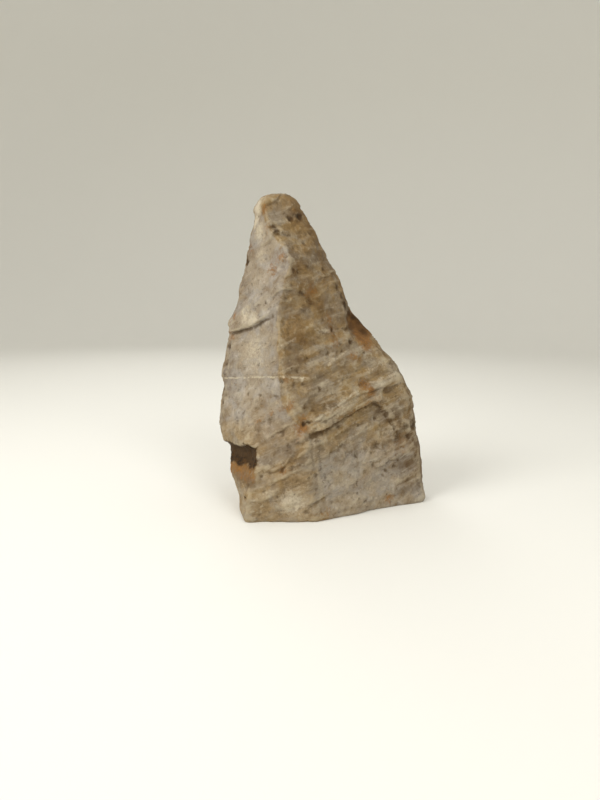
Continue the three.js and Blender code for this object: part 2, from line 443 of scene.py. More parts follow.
LOW_CREST = [(-36, 50.5), (-31.7, 53.2), (-26, 57), (-20.8, 60.1)]
STREAKS = [
    [(21.6, 68.3), (30, 71), (41, 75)], [(22.3, 76.6), (30, 79), (38, 82)],
    [(-24.5, 90.2), (-20.9, 92.5), (-17.6, 93.6)], [(-7.4, 97.8), (-3.9, 97.2), (1.6, 97)],
    [(-0.2, 80.4), (5, 83.6), (10.8, 86.8)],
]
ARRIS = [(-6.4, 42), (-6.1, 37), (-5.2, 31.6), (-3.7, 26), (-2.3, 19)]

# Each edge wanders off its line by its own amount.
wander = rough(shell, 7, 60, 4)
slab = beside(SLAB_LIP) + 0.4 * wander
ledge = beside(LEDGE_LIP) + 0.5 * wander
crack = beside(CRACK) + 0.9 * wander
notch = beside(NOTCH_LIP) + 0.6 * wander
crest = beside(CREST) + 0.3 * wander
low_crest = beside(LOW_CREST) + 0.7 * wander
arris = beside(ARRIS) + 0.8 * wander
print("notch roof: nearest point", abs(notch).min().round(2), "mm away")

# %% Lip and groove


def lip(distance, out, back, below):
    """Stands out by `out` just above the line and lies back by `back` just below it, and both
    fade: the lip over 3 mm upwards, the groove over `below` downwards. A negative `back` brings
    the face below forward."""
    over = out * fade(distance, -0.2, 0.3) * (1 - fade(distance, 0.3, 3))
    under = back * (1 - fade(distance, -0.5, 0)) * fade(distance, -below, -0.8)
    return over - under


worn = fade(rough(shell, 13, 62, 3), -0.5, 0.2)  # parts of a lip have broken away
lips = front * (
    lip(slab, 0.05, 0.1, 2) * taper(SLAB_LIP, 2)
    + lip(ledge, 0.1, -0.5, 4) * taper(LEDGE_LIP)
    + lip(crack, 0.1, 0.6, 1.6) * taper(CRACK) * worn
    + lip(notch, 0.2, 0.9, 8) * taper(NOTCH_LIP)
    + lip(crest, 0.25, 0.05, 2) * taper(CREST) * worn
    + lip(low_crest, 0.3, 0.25, 2) * taper(LOW_CREST) * worn
)
print(f"lips: from {lips.min():.1f} to {lips.max():.1f} mm")

# %% The ledge and the slab hang lower
SILL = 1.8  # how far the ledge hangs below its step in the solid
SILL_SLOPE = 0.85
SILL_MOST = 2.2
SLAB_DEPTH = 1.5  # how far the slab stands out where it comes below its step in the solid

hanging = np.clip(SILL - ledge, 0, SILL_MOST) * fade(ledge, -0.5, 0.1)
lips += SILL_SLOPE * hanging * fade(x, -9, -4) * front * (1 - fade(x, 22, 26))
under_step = (1 - fade(beside(SLAB_STEP), -1.6, 0.5)) * (1 - fade(x, -34, -26))
lips += SLAB_DEPTH * fade(slab, -1.2, 0.2) * under_step * front
print(f"lips: now up to {lips.max():.1f} mm")

# %% [markdown]
# ## Pits and bites
#
# Small flakes and grains have dropped out. The larger holes have places of their own; along the
# thin left edge the bites come one after another.

# %% Holes
HOLES = [
    # x, height, radius, depth
    (-27.8, 146.3, 1.8, 1.1), (-29.5, 149, 1, 0.6), (-21.2, 153.9, 1.5, 0.8),
    (-16.7, 154.9, 1.9, 1.1), (-12.2, 52, 1.1, 1.2), (-10, 52.7, 1, 1.1), (0.6, 97.2, 1.3, 0.8),
    (11.8, 90.5, 1.7, 1), (45.8, 38.4, 1.4, 1), (-32.5, 111.5, 1, 0.7), (-42.5, 83.9, 0.8, 0.4),
    (-42.2, 64.7, 0.9, 0.6), (-34.5, 64.4, 0.9, 0.5), (-22.9, 27.8, 1.4, 0.6),
    (-16.4, 34.4, 1, 0.6), (-5.1, 67.4, 1.1, 0.5), (-23.7, 73, 1.2, 0.5), (31.9, 52.1, 1.2, 0.6),
    (-46.6, 50.2, 1.6, 0.4), (-16.6, 127.1, 1.2, 0.6), (-3.8, 128.4, 1, 0.5),
    (-0.8, 103, 1.3, 0.5),
]
LEFT_BITES = [
    # height, radius, how far behind the leftmost point at that height
    (154.3, 1.7, -1), (142.3, 1.9, 1), (132.8, 2.6, -1), (121, 1.1, -4), (107.1, 2.3, -2),
    (95.8, 2.2, 1), (88, 2, -3), (78.3, 1.6, 0), (70, 1.1, -5), (64.7, 1.8, -1), (56.8, 1.7, -3),
]
NEVER = 1e4  # added to a distance, it keeps a point from being the nearest
BITE_DEPTH = 0.65  # over the bite's radius
PIT_SPACING = 7
PIT_DEPTH = 0.5
LUMP = (17, 99.5)  # x and height of a lump that stands in the rusty pocket
LUMP_HEIGHT = 1.6
LUMP_RADIUS = 5

# Dents are measured on a copy of the grid that is shaken by fine noise, so they come out ragged.
shake = np.stack([rough(shell, 3.5, seed, 2) for seed in (81, 82, 83)], axis=-1)
ragged_shell = shell + 0.9 * shake


def dent(centre, radius):
    """A dent in space with a ragged edge: exp(-(distance / radius)²)."""
    return np.exp(-((ragged_shell - centre) ** 2).sum(axis=-1) / radius**2)


def on_front(place_x, height):
    """The point of the grid on the front of the block that is nearest to a place seen there."""
    gap = (x - place_x) ** 2 + (z - height) ** 2 + NEVER * (away[..., 1] > 0.3)
    return shell[np.unravel_index(gap.argmin(), gap.shape)]


def on_left(height, behind):
    """The point of the grid nearest to the leftmost one at a height, moved back a little."""
    far = x + NEVER * (abs(z - height) > 1)
    goal = shell[np.unravel_index(far.argmin(), far.shape)] + (0, behind, 0)
    gap = ((shell - goal) ** 2).sum(axis=-1)
    return shell[np.unravel_index(gap.argmin(), gap.shape)]


holes = sum(depth * dent(on_front(px, pz), radius) for px, pz, radius, depth in HOLES)
lump = LUMP_HEIGHT * dent(on_front(*LUMP), LUMP_RADIUS)
bites = sum(
    BITE_DEPTH * radius * dent(on_left(level, behind), radius)
    for level, radius, behind in LEFT_BITES
)
near_grain = 1 - fade(grains(ragged_shell, PIT_SPACING, 90), 0.08, 0.26)
pits = PIT_DEPTH * near_grain * (1 - 0.5 * pale)
print(f"{len(HOLES)} holes, {len(LEFT_BITES)} bites, pits up to {pits.max():.1f} mm")

# %% [markdown]
# ## How broken the ground is
#
# The clean parting of the pale face takes less relief than the rest, and so do the flanks, whose
# relief shows as a jagged outline, and the wall under the notch's roof. Chips are knocked off
# where the block stands out most.

# %% Broken ground
parting = pale * fade(-slab, 0, 2.5) * fade(z, 58, 72)  # the smoothest part of the pale face
flank = fade(abs(away[..., 0]), 0.5, 0.85)
notch_wall = np.exp(-(((notch + 4) / 6) ** 2)) * (1 - fade(x, -37, -33))
broken = (1 - 0.3 * pale - 0.5 * parting) * (1 - 0.35 * flank) * (1 - 0.7 * notch_wall)
chips = fade(relief_at(shell, 10), 0.1, 0.5) * fade(rough(shell, 9, 95, 4), -0.05, 0.35)
print(f"broken: {broken.mean():.2f} of full relief, chips on {(chips > 0.5).mean():.2f} of the grid")

# %% [markdown]
# ## Carving
#
# All the relief is added up and pushed out along the blurred normals, which keep neighbours from
# crossing at the ledges. Near the foot it dies away, because a saw has made that edge.

# %% Carve
SWELL = 0.35  # the depths of each kind of relief, in millimetres
CHIP = 0.8
FLAKE = 1.3
SMALL_FLAKE = 0.6
FLAKE_MIDDLE = 0.1  # taken off each flake, so that flakes neither swell nor shrink the block
LAYER = 0.9
GRIT = 0.2
NOTCH_GRIT = 0.5

smoother = 1 - 0.8 * step_end  # fewer flakes where the slab's step dies out
flaked = in_layers(shell, 1.7) + 1.2 * wander[..., None]
chipped = in_layers(ragged_shell, 1.3)
ground = (
    SWELL * rough(shell, 15, 10)
    - CHIP * (1 - step_end) * chips
    + broken * FLAKE * smoother * (flakes(flaked, 12, 20) - FLAKE_MIDDLE)
    + broken * SMALL_FLAKE * (flakes(chipped, 5, 30) - FLAKE_MIDDLE)
    + broken * LAYER * layer_steps(shell, 6.5, 40)
    + GRIT * rough(shell, 2.6, 70, 2)
    + NOTCH_GRIT * notch_wall * rough(shell, 4, 77, 3)
)
relief = ground + lips + lump - holes - bites - pits
relief *= fade(z, -1.5, 4)
carved = shell + relief[..., None] * away
print(f"relief: from {relief.min():.1f} to {relief.max():.1f} mm")

# %% [markdown]
# ## Closing the skin
#
# The lowest ring turns in over a worn edge to the sawn foot, which is flat and lies on the ground.
# The foot and the crown are each closed by a point.

# %% Foot, crown and mesh
EDGE = [(0.25, 0.3), (0.8, 0.0)]  # how far in and at what height the worn edge turns to the foot
FOOT_SHARES = [0.94, 0.7, 0.4]


def close(grid):
    """Points and faces of the whole skin, from the middle of the foot to the peak."""
    rim = grid[0].copy()
    middle = rim.mean(axis=0) * (1, 1, 0)
    arm = (rim - middle) * (1, 1, 0)
    length = np.linalg.norm(arm, axis=-1, keepdims=True)
    turned = [middle + arm * (1 - inset / length) + (0, 0, height) for inset, height in EDGE]
    flat = [middle + (turned[-1] - middle) * share for share in reversed(FOOT_SHARES)]
    rings = np.concatenate([np.stack(flat + turned[::-1]), grid])
    peak = grid[-1].mean(axis=0)
    points = np.concatenate([middle[None], rings.reshape(-1, 3), peak[None]])
    columns = grid.shape[1]
    column = np.arange(columns)
    after = (column + 1) % columns
    last = 1 + (len(rings) - 1) * columns
    foot_fan = np.stack([np.zeros(columns, int), 1 + after, 1 + column], axis=-1)
    crown_fan = np.stack([last + column, last + after, np.full(columns, len(points) - 1)], axis=-1)
    faces = ring_quads(len(rings), columns, start=1).tolist()
    return points, foot_fan.tolist() + faces + crown_fan.tolist(), len(rings) - len(grid)


points, faces, foot_rings = close(carved)
stone = make_object("soapstone", points, faces)
stone.data.shade_smooth()
triangles = sum(len(face) - 2 for face in faces)
print(f"skin: {triangles} triangles, box {points.min(0).round(1)} to {points.max(0).round(1)}")

# %% [markdown]
# ## Masks for the finish
#
# Stains follow the shape: rust runs out of the hollows, the holes are darker, painted shadows lie
# under ledges, painted shade lies in the hollows, and edges that stand out get a painted highlight.
# Each mask is worked out on the grid and kept on the mesh as an attribute, which the finish reads and
# breaks up with fine noise.

# %% Hollows and edges
FINE_BLUR = 6
WIDE_BLUR = 40

fine = relief_at(carved, FINE_BLUR)
wide = relief_at(carved, WIDE_BLUR)
# High in hollows, where the finish paints shade; low on edges that stand out, where it paints a
# highlight.
hollow = np.clip(0.5 - 0.9 * fine - np.clip(0.18 * wide, -0.25, 0.1), 0, 1)
print(f"hollow: mean {hollow.mean():.2f}, spread {hollow.std():.2f}")

# %% [markdown]
# ## Spots
#
# A spot of stain has a place, a width and a strength. Past a strength of 1 it keeps its full colour
# further out. Rust and dirt lie mostly in the holes and at the ends of the edges; the pale spots
# are talc, rubbed bare; and where it is umber the block is browner and duller all over.

# %% Rust and dirt in spots


def stain(spots):
    """The most of a list of soft spots, each (x, height, width, strength) on the front."""
    total = np.zeros(x.shape)
    for px, pz, width, strength in spots:
        total = np.maximum(total, strength * dent(on_front(px, pz), width))
    return total


RUST = [
    # x, height, width, strength
    (20.2, 88.7, 6, 0.9), (18, 94, 8, 1.6), (15, 99, 6, 1.5), (14, 102, 7, 1.1), (0.6, 97, 3, 0.8),
    (-0.8, 103, 3.5, 0.7), (19.4, 68.5, 4.5, 0.9), (23.1, 64.5, 3.5, 0.9), (27, 60, 3, 0.5),
    (-13.7, 49.5, 4, 1.2), (-12, 54.5, 4, 0.6), (-29.5, 128.3, 4, 0.8), (-34.6, 157.8, 3, 0.9),
    (-22.9, 27.8, 3, 0.9), (35.4, 4.9, 4, 0.6), (-52, 93, 3.5, 0.8), (-10, 117, 6, 0.6),
    (-22, 74, 3, 0.6), (-20, 61, 4, 0.6), (0, 1.5, 6, 0.4), (42, 34, 6, 0.5), (3, 92, 5, 0.6),
    (-50, 104, 3, 0.7), (-42, 140, 3, 0.6), (-25, 133, 4, 0.5), (14, 84, 5, 0.5),
    (-33, 148, 4, 0.5),
]
DARK = [
    (-16.7, 154.9, 2.6, 1.2), (-21.2, 153.9, 2, 1), (-27.8, 146.3, 2, 1), (-30, 149, 1.5, 0.8),
    (-19.3, 127.7, 2, 0.9), (-16.6, 127.1, 2, 0.8), (-11.8, 129.3, 1.8, 0.8),
    (-3.8, 128.4, 1.6, 0.8), (-23.2, 114.2, 1.9, 0.6), (-15.4, 116.7, 3, 0.7),
    (-10.3, 113, 3.2, 0.7), (-14, 108, 3, 0.5), (0.6, 97.2, 2, 1), (11.8, 90.5, 2.2, 1),
    (19, 96, 5, 0.9), (13.5, 103, 4, 1.1), (16.5, 99.5, 5, 1), (11.4, 106, 3.8, 1.1),
    (8.9, 110, 3, 1), (6.8, 115, 2.6, 0.9), (3.8, 119.5, 2.4, 0.8), (-32, 111.7, 1.5, 0.9),
    (-5.1, 67.4, 1.5, 0.9), (-12, 59.9, 1.8, 0.8), (-23.7, 73, 2.4, 0.9), (-12.3, 52, 1.4, 1.1),
    (-10, 52.7, 1.3, 1.1), (31.9, 52.1, 2.2, 0.6), (35.7, 47.1, 3, 0.6), (38.1, 40.1, 4, 0.8),
    (43.9, 43.8, 3.2, 0.9), (48.5, 44.5, 3.5, 1), (45.8, 38.4, 2, 1.1), (26.4, 35.4, 2.8, 0.8),
    (20.7, 33.4, 2.6, 0.7), (15.1, 31.5, 3, 0.7), (39.9, 27.5, 3, 0.6), (6.6, 38.2, 3, 0.6),
    (-18.5, 29.8, 1.6, 0.7), (-19.9, 40.4, 1.6, 0.7), (-10.5, 6.2, 2.2, 0.7),
    (-46.6, 50.2, 2.8, 0.7), (-44, 53.5, 2, 0.6), (2, 66, 3, 0.5), (28, 75, 3, 0.4),
]
print(f"{len(RUST)} spots of rust, {len(DARK)} of dirt")

# %% Pale and umber spots
PALE = [
    (-37.5, 160.5, 5, 1.1), (-39, 153, 5, 0.8), (-37, 147, 7, 0.75), (-36, 134, 6, 0.5),
    (-44, 105, 7, 0.7), (-40, 102, 6, 0.8), (-17.6, 11.1, 9, 0.8), (-30.4, 15.4, 5, 0.6),
    (-43, 16, 3, 0.6), (-43, 10, 3, 0.6), (-38, 118, 7, 0.4), (8, 61, 5, 0.6),
    (15, 64.6, 4, 0.7), (0, 57, 4, 0.5), (32, 80.5, 5, 0.6), (28.7, 68.5, 4, 0.6),
    (42, 66, 6, 0.5), (-47, 48, 7, 0.3), (9.8, 19.6, 9, 0.45), (25, 14, 8, 0.4),
    (-14, 74, 2, 0.8), (-38, 86, 15, 0.55),
]
UMBER = [
    (-16, 92, 11, 0.8), (-17, 82, 9, 0.9), (-19, 106, 8, 0.7), (-12, 120, 15, 0.65),
    (-18, 158, 10, 0.9), (0, 105, 12, 0.5), (-8, 80, 9, 0.4), (40, 32, 14, 0.5),
    (48, 42, 8, 0.8), (48, 22, 12, 1), (36, 51, 9, 0.75), (-18, 45, 8, 0.4), (-2, 134, 8, 0.4),
    (-22, 34, 14, 0.6), (-26, 46, 12, 0.5), (-5, 67, 12, 0.55), (10, 40, 10, 0.3),
]
print(f"{len(PALE)} pale spots, {len(UMBER)} umber")

# %% [markdown]
# ## Stains and painted light that follow the shape
#
# The wall of the notch is dark under its roof, with dirt and painted shade, and rusty below that; the
# pocket between the spire and the shoulder is rusty right through, with painted shade in it. A
# painted shadow lies under each named edge, and what stands out above it gets a painted highlight.

# %% The notch and the pocket


def band(distance, start, end, soft=0.7):
    """1 between two distances below a line, and 0 outside them."""
    return fade(-distance, start - soft, start + soft) * (1 - fade(-distance, end - soft, end + soft))


behind_face = fade(y, -21, -17)  # 0 on the front, where the stain stops at an edge
in_notch = 1 - fade(x + wander - 12 * behind_face, -37.5, -35)
in_notch *= 1 - fade(y + 12 * wander, -14, 26)
# Dirt and painted shade: the wall is darkened under the notch's overhanging roof, and the broader
# grime mask darkens the whole recess.
notch_dirt_and_shade = 1.8 * band(notch + 1.5 * wander, -0.5, 10, 2.5) * in_notch
notch_rust = 0.7 * band(notch + 2 * wander, 7, 17, 3) * in_notch
notch_grime_and_shade = band(notch + 1.5 * wander, -0.5, 20, 3) * in_notch
POCKET = (20.5, 16, 98.5)  # its far side; spots on the front cover the near one
POCKET_RADIUS = 8
# Rust and painted shade: the pocket is rusty, and the dark and umber it adds are painted shade in the
# recess.
pocket = dent(POCKET, POCKET_RADIUS)
print(f"notch: {(notch_grime_and_shade > 0.5).sum()} points, pocket: {(pocket > 0.5).sum()}")

# %% Painted shadows, dirt and rust along the edges
thinner = 1 - 0.5 * fade(x, -4, 14)  # the shadow line under the ledge thins to the right
painted_shadow_under_ledge = band(ledge, 0, 3, 1.2) * taper(LEDGE_LIP, 2) * front * thinner
painted_shadow_under_crack = band(crack, 0, 1.6, 1) * taper(CRACK, 1) * front
painted_shadow_under_slab = band(slab, 0, 1, 0.6) * taper(SLAB_LIP, 2) * front
painted_shade_right_of_arris = np.exp(-(((arris - 1.3) / 1.4) ** 2)) * front
in_holes = np.clip(holes + 0.7 * bites, 0, 0.9)
# Dirt spots and darker holes, with painted shade: under the notch's roof, in the pocket, painted
# shadow lines under the ledge, crack and slab, and right of the low arris.
dark = np.maximum.reduce([
    stain(DARK), in_holes, notch_dirt_and_shade, 0.8 * pocket,
    0.6 * painted_shadow_under_ledge, 0.75 * painted_shadow_under_crack, 0.35 * painted_shadow_under_slab, 0.5 * painted_shade_right_of_arris,
])
on_ledge = band(ledge, -1.5, 1.5) * taper(LEDGE_LIP) * front
on_low_crest = band(low_crest, -1.8, 0.5) * taper(LOW_CREST) * front
rust = np.maximum.reduce([
    stain(RUST), notch_rust, 1.4 * pocket, 0.4 * on_ledge, 0.35 * on_low_crest,
])
print(f"stains: rust {rust.mean():.3f}, dark {dark.mean():.3f}")

# %% Pale spots, painted highlights and streaks
STREAK_STRENGTH = 0.6

# Painted highlights: the crest, the slab's lip and the left side of the low arris are lightened where
# they face the light.
painted_highlight_on_crest = np.exp(-(((crest - 0.3) / 0.9) ** 2)) * taper(CREST, 2) * front * (0.5 + 0.5 * worn)
painted_highlight_on_slab = np.exp(-(((slab - 0.9) / 0.9) ** 2)) * taper(SLAB_LIP, 2) * front
ledge_face = 1.3 * band(crest, 1, 5) * taper(CREST, 3) * front
painted_highlight_left_of_arris = np.exp(-(((arris + 1.3) / 1.2) ** 2)) * front
light = np.maximum.reduce([
    stain(PALE), 0.8 * painted_highlight_on_crest, 0.35 * painted_highlight_on_slab, 0.4 * ledge_face, 0.5 * painted_highlight_left_of_arris,
])
for line in STREAKS:
    streak = np.exp(-((beside(line) + 1.5 * wander) ** 2)) * taper(line) * front
    light = np.maximum(light, STREAK_STRENGTH * streak)
print(f"light: {light.mean():.3f}")

# %% [markdown]
# ## Broad tones
#
# The thin left edge is umber in uneven patches. The right end and the flank above it are umber in
# uneven patches too, painted shade on the side turned away from the light. The clean parting, the
# foot of the front to the right of the low arris and parts of the back are ash grey.
# The streaks of the layers show best across the middle of the broad face.

# %% Umber
LEFT_HEIGHTS = np.linspace(36, 160, 9)
LEFT_SPREAD = 5.5  # how far the umber reaches in from the leftmost line, seen from the front

leftmost = np.array([on_left(level, 0) for level in LEFT_HEIGHTS])
left_x, left_y = (np.interp(z, LEFT_HEIGHTS, leftmost[:, k]) for k in range(2))
behind_left = fade(y - left_y + 6 * wander, -4, 9) * fade(-away[..., 0] + 0.3 * wander, -0.2, 0.6)
near_left = np.exp(-(((x - left_x + wander) / LEFT_SPREAD) ** 2))
left_edge = 0.7 * np.maximum(behind_left, near_left) * fade(z, 34, 44) * (1 - fade(z, 150, 160))
left_edge *= 0.3 + 0.7 * fade(rough(shell, 17, 97, 4), -0.35, 0.4)
# Painted shade: the right end and the flank turned away from the light are darkened.
painted_shade_right_end = fade(x + 2 * wander, 36, 50) * (0.4 + 0.6 * fade(z + 3 * wander, 4, 14))
painted_shade_right_end *= 0.7 + 0.3 * fade(rough(shell, 19, 98, 4), -0.3, 0.4)
painted_shade_right_flank = fade(away[..., 0] + 0.3 * wander, 0.4, 0.95) * fade(z, 60, 80)
# Umber is the stone's own brown on the left edge and in spots, and painted shade at the right end, on
# the right flank, in the notch and in the pocket.
umber = np.maximum.reduce([
    stain(UMBER), left_edge, painted_shade_right_end, 0.8 * painted_shade_right_flank, 0.6 * notch_grime_and_shade, pocket,
])
print(f"umber: {umber.mean():.2f}")

# %% Ash and streaks
ashy_back = (1 - front) * fade(rough(shell, 42, 99, 4), -0.05, 0.35)
ashy_foot = front * (1 - fade(z + 4 * wander, 30, 48)) * (0.3 + 0.7 * fade(arris, -1.5, 1.5))
ash = np.maximum.reduce([pale, 0.85 * ashy_foot, 0.8 * ashy_back]) * (1 - notch_grime_and_shade)
mid_face = fade(z, 34, 50) * (1 - fade(z, 60, 105)) * fade(x + 2 * wander, -22, 5)
streaky = (1 - 0.65 * pale) * (0.35 + 0.65 * mid_face)
print(f"ash: {ash.mean():.2f}, streaky: {streaky.mean():.2f}")

# %% No painted highlight or hollow shade over stains and painted shade
NEITHER_HIGHLIGHT_NOR_SHADE = 0.45  # just hollow enough to get neither the painted highlight nor the painted hollow shade

stained_or_shaded_parts = np.clip(np.maximum.reduce([rust, dark, notch_grime_and_shade]), 0, 1)
hollow = np.maximum(hollow, NEITHER_HIGHLIGHT_NOR_SHADE * stained_or_shaded_parts)
print(f"hollow: mean now {hollow.mean():.2f}")

# %% Masks onto the mesh


def keep(name, mask):
    """Stores a mask of the grid on the mesh; the rings of the foot repeat the lowest ring."""
    foot = np.repeat(mask[:1], foot_rings, axis=0)
    values = np.concatenate([[mask[0].mean()], foot.ravel(), mask.ravel(), [mask[-1].mean()]])
    attribute = stone.data.attributes.new(name, "FLOAT", "POINT")
    attribute.data.foreach_set("value", values.astype(np.float32))


MASKS = {
    "ash": ash, "hollow": hollow, "rust": rust, "dark": dark, "light": light, "umber": umber,
    "streaky": streaky,
}
for name, mask in MASKS.items():
    keep(name, mask)
print("masks kept:", ", ".join(MASKS))

# %% [markdown]
# ## Writing shader maths
#
# A finish is a tree of nodes, and its maths reads best as plain expressions. A Wire wraps one
# output socket; adding or multiplying wires adds Math nodes. Every other node comes from
# Finish.node, which takes the node's type, its settings and the values or wires of its sockets.

# %% Wire and Finish


class Wire:
    """An output socket in a sum: each operator adds one Math node and gives its output."""

    def __init__(self, finish, socket):
        self.finish = finish
        self.socket = socket

    def maths(self, operation, first, second):
        settings = {"operation": operation}
        return self.finish.node("ShaderNodeMath", settings, {0: first, 1: second})

    def __add__(self, other):
        return self.maths("ADD", self, other)

    def __sub__(self, other):
        return self.maths("SUBTRACT", self, other)

    def __rsub__(self, other):
        return self.maths("SUBTRACT", other, self)

    def __mul__(self, other):
        return self.maths("MULTIPLY", self, other)

    __radd__ = __add__
    __rmul__ = __mul__


class Finish:
    """A material being made."""

    def __init__(self, name):
        self.material = bpy.data.materials.new(name)
        self.material.use_nodes = True
        self.tree = self.material.node_tree
        self.tree.nodes.clear()

    def node(self, kind, settings=None, sockets=None, output=0):
        """Adds a node: settings first, then each socket gets a value or a wire."""
        made = self.tree.nodes.new(kind)
        for name, value in (settings or {}).items():
            setattr(made, name, value)
        for name, value in (sockets or {}).items():
            if isinstance(value, Wire):
                self.tree.links.new(value.socket, made.inputs[name])
            else:
                made.inputs[name].default_value = value
        return Wire(self, made.outputs[output]) if made.outputs else None

    def mix(self, factor, first, second, blend="MIX"):
        """Two colours mixed by a factor."""
        settings = {"data_type": "RGBA", "blend_type": blend}
        return self.node("ShaderNodeMix", settings, {0: factor, 6: first, 7: second}, output=2)

    def step(self, value, start, end):
        """0 before start, 1 after end, smooth between them."""
        settings = {"interpolation_type": "SMOOTHSTEP"}
        sockets = {"Value": value, "From Min": start, "From Max": end}
        return self.node("ShaderNodeMapRange", settings, sockets)

    def attribute(self, name):
        return self.node("ShaderNodeAttribute", {"attribute_name": name}, output="Fac")

    def noise(self, where, size, detail=4, roughness=0.55, distortion=0):
        """Noise with lumps of `size` millimetres, from 0 to 1."""
        sockets = {
            "Vector": where, "Scale": 1 / size, "Detail": detail, "Roughness": roughness,
            "Distortion": distortion,
        }
        return self.node("ShaderNodeTexNoise", None, sockets)


def paint(code):
    """A colour as a shader wants it, from the code a paint chart would give."""
    parts = [int(code[k : k + 2], 16) / 255 for k in (0, 2, 4)]
    return [(c / 12.92 if c <= 0.04045 else ((c + 0.055) / 1.055) ** 2.4) for c in parts] + [1]


print("brown as a shader sees it:", [round(c, 2) for c in paint("8a7048")])

# %% [markdown]
# ## The finish of the stone
#
# Soapstone's colour lies in its layers: grey talc, tan and brown streaks of iron, and a pale vein.
# Two grounds are mixed by the ash mask, tan and grey, each with its own mottling. Over them go the
# streaks, from noise that is stretched along the layers, then blotches, ochre and umber, and the
# umber also paints shade. The stains come next, some of them painted shade, painted shadows and
# painted highlights, and last painted shade in the hollows, a painted highlight on the edges and a
# little pepper.

# %% Paints
TAN, TAN_GREY, TAN_BROWN, TAN_CREAM = map(paint, ("927952", "8b7e6b", "695539", "a99b7d"))
GREY, COOL_GREY, GREY_BROWN, GREY_CREAM = map(paint, ("9b8e7a", "978f84", "7d6b55", "b5aa9c"))
STREAK_BROWN, STREAK_CREAM, LINE_BROWN, CREAM = map(paint, ("6d5d46", "aea38e", "6d5b3f", "b3a992"))
# The bare talc paint also paints highlights, the dirt paints also paint shade and shadows, the hollow
# brown is painted shade, the umber wash also paints shade, and the last pale paint of the edges is a
# painted highlight.
BLOTCH_BROWN, OCHRE, UMBER_AND_SHADE_WASH = map(paint, ("6a583c", "917544", "a88e68"))
BARE_TALC_AND_HIGHLIGHT, RUST_DEEP, RUST_BRIGHT = map(paint, ("cdc0a7", "684219", "946734"))
DIRT_AND_SHADE_DEEP, DIRT_AND_SHADE_THIN, HOLLOW_SHADE_BROWN = map(paint, ("1b1003", "4b3213", "4d3a24"))
EDGE_HIGHLIGHT, PEPPER, VEIN = map(paint, ("bdb094", "4d3c24", "cbbfa4"))
print("umber wash multiplies by:", [round(c, 2) for c in UMBER_AND_SHADE_WASH[:3]])

# %% Noises of the soapstone
soapstone = Finish("soapstone")
object_place = soapstone.node("ShaderNodeTexCoord", output="Object")
place = soapstone.node(
    "ShaderNodeVectorMath", {"operation": "SCALE"}, {0: object_place, "Scale": 1 / MM}
)
LAYER_TILT = (-math.asin(LAYER_NORMAL[1]), math.atan2(LAYER_NORMAL[0], LAYER_NORMAL[2]), 0)


def streaked(length, thickness):
    """The place measured in the layers' own axes, in units of a streak's length and thickness."""
    settings = {"vector_type": "TEXTURE"}
    scale = (length, length, thickness)
    return soapstone.node(
        "ShaderNodeMapping", settings, {"Vector": place, "Rotation": LAYER_TILT, "Scale": scale}
    )


zones = soapstone.noise(streaked(15, 9), 1, 5, 0.6, 0.5)
mottle = soapstone.noise(place, 7, 5, 0.65, 0.5)
blotch = soapstone.noise(place, 2.8, 4, 0.7, 0.3)
grain = soapstone.noise(place, 1, 3, 0.7)
broad_streaks = soapstone.noise(streaked(20, 4), 1, 4, 0.6, 0.4)
fine_streaks = soapstone.noise(streaked(7, 1.2), 1, 4, 0.65, 0.3)
print("streaks lean", [round(math.degrees(a), 1) for a in LAYER_TILT])

# %% Tan and grey grounds
in_zone = soapstone.step(zones, 0.4, 0.61)
tan = soapstone.mix(in_zone, TAN, TAN_GREY)
tan = soapstone.mix(soapstone.step(mottle, 0.46, 0.7) * 0.6, tan, TAN_BROWN)
tan = soapstone.mix(soapstone.step(mottle, 0.5, 0.3) * 0.5, tan, TAN_CREAM)
grey = soapstone.mix(in_zone, GREY, COOL_GREY)
grey = soapstone.mix(soapstone.step(mottle, 0.46, 0.68) * 0.7, grey, GREY_BROWN)
grey = soapstone.mix(soapstone.step(mottle, 0.46, 0.32) * 0.7, grey, GREY_CREAM)
face = soapstone.attribute("ash")
colour = soapstone.mix(face, tan, grey)
print("grounds:", len(soapstone.tree.nodes), "nodes so far")

# %% Streaks, blotches, ochre and umber
streaky = soapstone.attribute("streaky")
dark_streaks = soapstone.step(broad_streaks, 0.5, 0.64) * streaky
light_streaks = soapstone.step(broad_streaks, 0.48, 0.36) * streaky
colour = soapstone.mix(dark_streaks * 0.6, colour, STREAK_BROWN)
colour = soapstone.mix(light_streaks * 0.5, colour, STREAK_CREAM)
colour = soapstone.mix(soapstone.step(blotch, 0.53, 0.68) * 0.5, colour, BLOTCH_BROWN)
colour = soapstone.mix(soapstone.step(blotch, 0.46, 0.31) * 0.4, colour, CREAM)
dark_lines = soapstone.step(fine_streaks, 0.52, 0.7) * streaky
light_lines = soapstone.step(fine_streaks, 0.46, 0.3) * streaky
colour = soapstone.mix(dark_lines * 0.42, colour, LINE_BROWN)
colour = soapstone.mix(light_lines * 0.34, colour, CREAM)
ochre = soapstone.step(soapstone.noise(place, 11, 4, 0.65, 0.6), 0.47, 0.72)
colour = soapstone.mix(ochre * (0.45 - face * 0.3), colour, OCHRE)
# The umber wash darkens brown tone and painted shade alike.
in_umber_and_shade = soapstone.attribute("umber") * soapstone.step(broad_streaks, 0.25, 0.55)
colour = soapstone.mix(in_umber_and_shade * 0.85, colour, UMBER_AND_SHADE_WASH, "MULTIPLY")
print("streaks and tones:", len(soapstone.tree.nodes), "nodes so far")

# %% Stains on the stone
ragged = mottle * 0.3 + blotch * 0.4 + grain * 0.3 - 0.5


def frayed_mask(mask, raggedness, start, end):
    """Where a mask shows: the mask frayed by the noise, cut between two values."""
    return soapstone.step(soapstone.attribute(mask) + ragged * raggedness, start, end)


